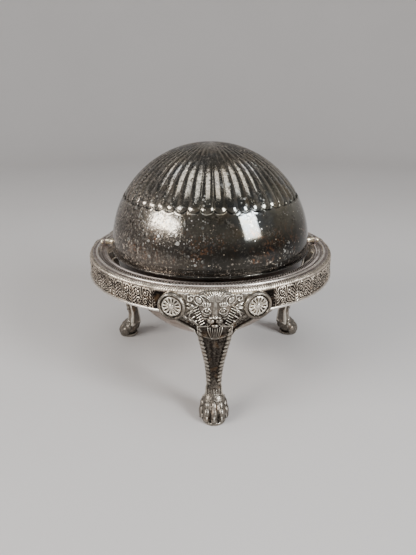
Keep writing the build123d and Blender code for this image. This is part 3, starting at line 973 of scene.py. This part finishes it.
def strap_shell():
    """The leg between the mask and the paw: a channel that is hollow at the back and dished in front."""
    z = np.linspace(57.5, 9, 190)[:, None]
    half = smooth_line(half_line, z)
    front = smooth_line(front_line, z)
    back = smooth_line(back_line, z)
    across = np.linspace(-1, 1, 41)[None, :]
    beard = 0.35 * (1 - np.clip((z - 48) / 4, 0, 1))
    veins = 0.10 * np.cos(across * 14) * np.clip((z - 30) / 8, 0, 1) * beard
    dished = front - (0.5 + beard) * (1 - across**2) + veins * (1 - across**2)
    face_x = across * half
    # The hollow at the back runs out above the paw
    wall = 1.4
    deepest_dish = 1.3
    back_skin = back - 0.2
    inner_x = np.linspace(1, -1, 21)[None, :] * (half - wall)
    inner_front = front - deepest_dish - wall + 0 * inner_x
    filled = np.clip((22 - z) / 3, 0, 1)
    inner_front = np.maximum(inner_front + (back_skin - inner_front) * filled, back_skin)
    side = np.linspace(0.12, 1, 8)[None, :]
    side_x = half * (1 - 0.12 * side)
    side_y = front + (back - front) * side
    right = np.stack([side_x, -side_y, z + 0 * side], -1)
    left = np.stack([-side_x, -side_y, z + 0 * side], -1)
    face = np.stack([face_x, -dished, z + 0 * face_x], -1)
    hollow = np.stack([inner_x, -inner_front, z + 0 * inner_x], -1)
    return capped(np.concatenate([face, right, hollow, left[:, ::-1]], axis=1))


def rope_shell(side):
    """Two strands twisted round each other, down one edge of the leg."""
    z = np.linspace(56.3, 17.0, 560)
    half = smooth_line(half_line, z)
    front = smooth_line(front_line, z)
    path = np.stack([side * (half - 1.0), -(front + 0.1), z], -1)
    ahead = np.gradient(path, axis=0)
    ahead /= np.linalg.norm(ahead, axis=1)[:, None]
    out = np.cross(ahead, np.array([side * 1.0, 0, 0]))
    out /= np.linalg.norm(out, axis=1)[:, None]
    cross = np.cross(ahead, out)
    length = np.concatenate([[0], np.cumsum(np.linalg.norm(np.diff(path, axis=0), axis=1))])
    turn = np.linspace(0, 2 * pi, 28, endpoint=False)[None, :]
    twist = side * 2 * pi * length[:, None] / 5.4
    lobes = np.abs(np.cos(turn - twist))
    taper = (
        np.clip((length[-1] - length) / 3.0, 0.25, 1)[:, None]
        * np.clip(0.3 + length / 2.0, 0.3, 1)[:, None]
    )
    radius = (0.72 + 0.6 * lobes**0.8) * taper
    points = path[:, None] + radius[..., None] * (
        np.cos(turn)[..., None] * out[:, None] + np.sin(turn)[..., None] * cross[:, None]
    )
    return capped(points)


def ellipsoid(cx, cy, cz, a, b, c, lean=0.0, count=28):
    """An ellipsoid. It leans forward by the angle in degrees."""
    polar = np.linspace(0, pi, count // 2 + 1)[None, :]
    turn = np.linspace(0, 2 * pi, count, endpoint=False)[:, None]
    x = a * np.sin(polar) * np.cos(turn)
    y = b * np.sin(polar) * np.sin(turn)
    z = c * np.cos(polar) + 0 * turn
    s, k = sin(radians(lean)), cos(radians(lean))
    return solid(np.stack([cx + x, cy + y * k + z * s, cz - y * s + z * k], -1), poles=True)


def paw_shell():
    """A lion's paw on a thin round foot: toes, claws, knuckles and the locks of fur over them."""
    lumps = [
        ellipsoid(0, -59.9, 17.5, 3.7, 2.4, 6.5),
        ellipsoid(0, -61.8, 9.0, 5.9, 4.2, 5.6, 12),
        ellipsoid(0, -63.6, 5.8, 6.5, 5.0, 4.9),
    ]
    toes = [(0.0, 69.0, 2.25, 1.0), (3.75, 67.9, 2.0, 0.93), (6.2, 64.6, 1.7, 0.86)]
    for x, reach, width, size in toes:
        for side in (-1, 1) if x else (1,):
            lumps.append(ellipsoid(side * x, -reach + 1.2, 5.2 * size, width, 3.0, 4.1 * size, 14))
            lumps.append(
                ellipsoid(side * x * 0.93, -reach + 3.2, 8.7 * size, width * 0.78, 2.3, 3.3 * size, 38)
            )
            lumps.append(ellipsoid(side * x, -reach - 1.45, 3.5 * size, width * 0.36, 1.1, 1.8 * size, -18))
            lumps.append(ellipsoid(side * x, -reach + 0.2, 2.5, width * 0.92, 2.4, 1.7))
    for k in range(-3, 4):
        back = -62.3 + 0.22 * abs(k) ** 1.5
        lumps.append(ellipsoid(1.3 * k, back, 14.6 - 0.25 * abs(k), 0.62, 0.9, 4.0, 24 - abs(k)))
    for side in (-1, 1):
        lumps.append(ellipsoid(side * 1.9, -64.2, 11.3, 0.55, 0.9, 3.0, 36))
        lumps.append(ellipsoid(side * 4.9, -61.6, 9.6, 0.6, 1.0, 3.4, 22))
        lumps.append(ellipsoid(side * 5.7, -60.4, 8.4, 0.6, 1.0, 3.2, 12))
    foot = filleted([(0.0, 0.0), (6.0, 0.0), (6.15, 0.75), (5.9, 1.5), (0.0, 1.6)], 0.3, 2, closed=False)
    points, faces = turned(foot, 96, poles=True)
    lumps.append((points + np.array([0, -65.0, 0]), faces))
    return remeshed(joined(*lumps), 0.2)


def remeshed(shell, voxel):
    """Melts overlapping shells into one skin."""
    lump = make("lump", shell, cast_plate, 0)
    melt = lump.modifiers.new("melt", "REMESH")
    melt.mode = "VOXEL"
    melt.voxel_size = voxel * MM
    soften = lump.modifiers.new("soften", "SMOOTH")
    soften.iterations = 2
    soften.factor = 0.4
    ready = lump.evaluated_get(bpy.context.evaluated_depsgraph_get()).to_mesh()
    vertices = np.array([vertex.co for vertex in ready.vertices]) / MM
    faces = [list(polygon.vertices) for polygon in ready.polygons]
    bpy.data.objects.remove(lump)
    return vertices, faces


def collar_shell(turn_degrees):
    """The drum-like collar round a rosette."""
    face = [(5.35, 70.3), (5.4, 71.9), (5.75, 72.5), (6.25, 72.55), (6.75, 72.1), (7.05, 71.2)]
    corners = face + [(7.1, 69.0), (5.3, 69.0)]
    return on_stud(turned(filleted(corners, 0.4), 120), turn_degrees)


leg_shell = joined(
    plate_shell(),
    strap_shell(),
    rope_shell(-1),
    rope_shell(1),
    roughened(paw_shell(), 0.04, 1.6, 30),
    roughened(collar_shell(-rosette_turn), 0.03, 3, 40),
    roughened(collar_shell(rosette_turn), 0.03, 3, 41),
)


rosette_reach = 66.2
PETALS = 13


def rosette_shell():
    """A round stud head with petals round a boss, and its shank."""
    turn = np.linspace(0, 2 * pi, PETALS * 16, endpoint=False)[:, None]
    rho = np.concatenate(
        [[0.0], np.linspace(0.25, rosette_radius - 0.6, 34), np.linspace(4.5, 5.0, 8)]
    )[None, :]
    phase = (turn * PETALS / (2 * pi)) % 1.0 - 0.5
    off_slot = (0.5 - np.abs(phase)) * 2 * pi * np.maximum(rho, 0.3) / PETALS
    slot_half = np.interp(rho, [1.4, 2.2, 3.8, 4.3], [0.0, 0.26, 0.5, 0.16])
    slot = 0.85 * np.clip(1 - (off_slot / np.maximum(slot_half, 0.01)) ** 2, 0, 1) ** 0.6
    slot = slot * (rho > 1.45) * (rho < 4.35)
    swell = 0.22 * np.cos(phase * pi) * np.clip((rho - 1.3) / 1.0, 0, 1) * (rho < 4.3)
    boss = 0.55 * np.clip(1 - (rho / 1.25) ** 2, 0, 1) ** 0.5
    dish = 0.25 * (rho / rosette_radius) ** 2
    rim = -0.5 * np.clip((rho - 4.55) / 0.45, 0, 1) ** 2
    face = (
        71.75 + dish + boss + swell - slot + rim
        + 0.03 * waves(rho * np.cos(turn), rho * np.sin(turn), 0, 1.8, 7)
    )
    back_rho = np.array([5.0, 5.0, 1.2, 1.2, 0.0])[None, :] + 0 * turn
    back_z = np.array([71.0, 70.3, 70.3, rosette_reach, rosette_reach])[None, :] + 0 * turn
    radius = np.concatenate([rho + 0 * turn, back_rho], axis=1)
    height = np.concatenate([face, back_z], axis=1)
    return solid(np.stack([radius * np.sin(turn), -radius * np.cos(turn), height], -1), poles=True)


leg = make("leg_casting", leg_shell, cast_plate, 20)
rosette = make("rosette_head", on_stud(rosette_shell(), 0), rosette_plate, 8)
for place, turn_degrees in leg_turns.items():
    casting = leg.copy()
    casting.name = f"leg_casting_{place}"
    bpy.context.scene.collection.objects.link(casting)
    casting.rotation_euler.z = radians(turn_degrees)
    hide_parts(f"leg_{place}")
    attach(casting, "stand")
    for side, sign in (("left", -1), ("right", 1)):
        head = rosette.copy()
        head.name = f"rosette_visual_{place}_{side}"
        bpy.context.scene.collection.objects.link(head)
        head.rotation_euler.z = radians(turn_degrees + sign * rosette_turn)
        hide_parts(f"rosette_{place}_{side}")
        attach(head, "stand")
bpy.data.objects.remove(leg)
bpy.data.objects.remove(rosette)

# -------- nodes that keep their CAD shape

kept = {
    "bowl": bowl_plate,
    "bowl_rim_wire": bright_plate,
    "pivot_eye_right": ring_plate,
    "pivot_eye_left": ring_plate,
}
for node, obj in frame["nodes"].items():
    if node in kept or node.startswith(("cover_bush", "pivot_", "gap_", "nut_", "stud_")):
        obj.data.materials.clear()
        obj.data.materials.append(kept.get(node, pivot_metal))

# -------- stage, light and camera


def stage_shell():
    """A round floor that curves up into a wall."""
    flat, bend, wall_top = 900.0, 500.0, 1600.0
    line = [(0.0, 0.0), (200.0, 0.0), (500.0, 0.0), (flat, 0.0)]
    for angle in np.radians(np.linspace(10, 90, 9)):
        line.append((flat + bend * sin(angle), bend - bend * cos(angle)))
    line.append((flat + bend, wall_top))
    profile = np.array(line)
    turn = np.linspace(0, 2 * pi, 96, endpoint=False)[:, None]
    points = np.stack(
        [profile[:, 0] * np.sin(turn), -profile[:, 0] * np.cos(turn), profile[:, 1] + 0 * turn], -1
    )
    index = np.arange(points.shape[0] * points.shape[1]).reshape(points.shape[:2])
    return points.reshape(-1, 3), grid_faces(index)


paper = Surface("studio_paper")
paper.shader.inputs["Roughness"].default_value = 0.8
paper.put(
    paper.shader.inputs["Base Color"],
    paper.mix(paper.noise(300, 3), rgb(0.60, 0.58, 0.57), rgb(0.66, 0.64, 0.63)),
)
studio = make("studio_floor", stage_shell(), paper.material, 0)
below_feet = 0.0002
studio.location.z = -below_feet


def softbox(name, azimuth, elevation, distance, width, height, power, tint):
    """A soft light that faces the dome. The azimuth is measured from -Y towards +X."""
    light = bpy.data.lights.new(name, "AREA")
    light.shape = "RECTANGLE"
    light.size = width
    light.size_y = height
    light.energy = power
    light.color = tint
    obj = bpy.data.objects.new(name, light)
    a, e = radians(azimuth), radians(elevation)
    target = Vector((0, 0, pivot_z * MM))
    away = Vector((sin(a) * cos(e), -cos(a) * cos(e), sin(e)))
    obj.location = target + away * distance
    obj.rotation_mode = "QUATERNION"
    obj.rotation_quaternion = away.to_track_quat("Z", "Y")
    obj.visible_camera = False
    bpy.context.scene.collection.objects.link(obj)


softbox("window_left", -59, 27, 0.95, 0.55, 0.20, 7.0, (1.0, 0.97, 0.93))
softbox("window_right", 47, 26, 0.95, 0.30, 0.42, 9.0, (0.95, 0.98, 1.0))
softbox("ceiling", 0, 80, 1.3, 0.8, 0.8, 6.0, (1.0, 1.0, 1.0))

world = bpy.data.worlds.new("studio_air")
world.use_nodes = True
world.node_tree.nodes["Background"].inputs["Color"].default_value = (0.75, 0.77, 0.8, 1.0)
world.node_tree.nodes["Background"].inputs["Strength"].default_value = 0.2
bpy.context.scene.world = world

camera_place = (-8.7 * MM, -275.9 * MM, 161.8 * MM)
camera_drop = 21.3
camera_pan = -1.52
camera_data = bpy.data.cameras.new("photo_view")
camera_data.sensor_width = 36.0
camera_data.lens = 31.6
camera = bpy.data.objects.new("photo_view", camera_data)
camera.location = camera_place
camera.rotation_euler = (radians(90 - camera_drop), 0, radians(camera_pan))
bpy.context.scene.collection.objects.link(camera)
bpy.context.scene.camera = camera
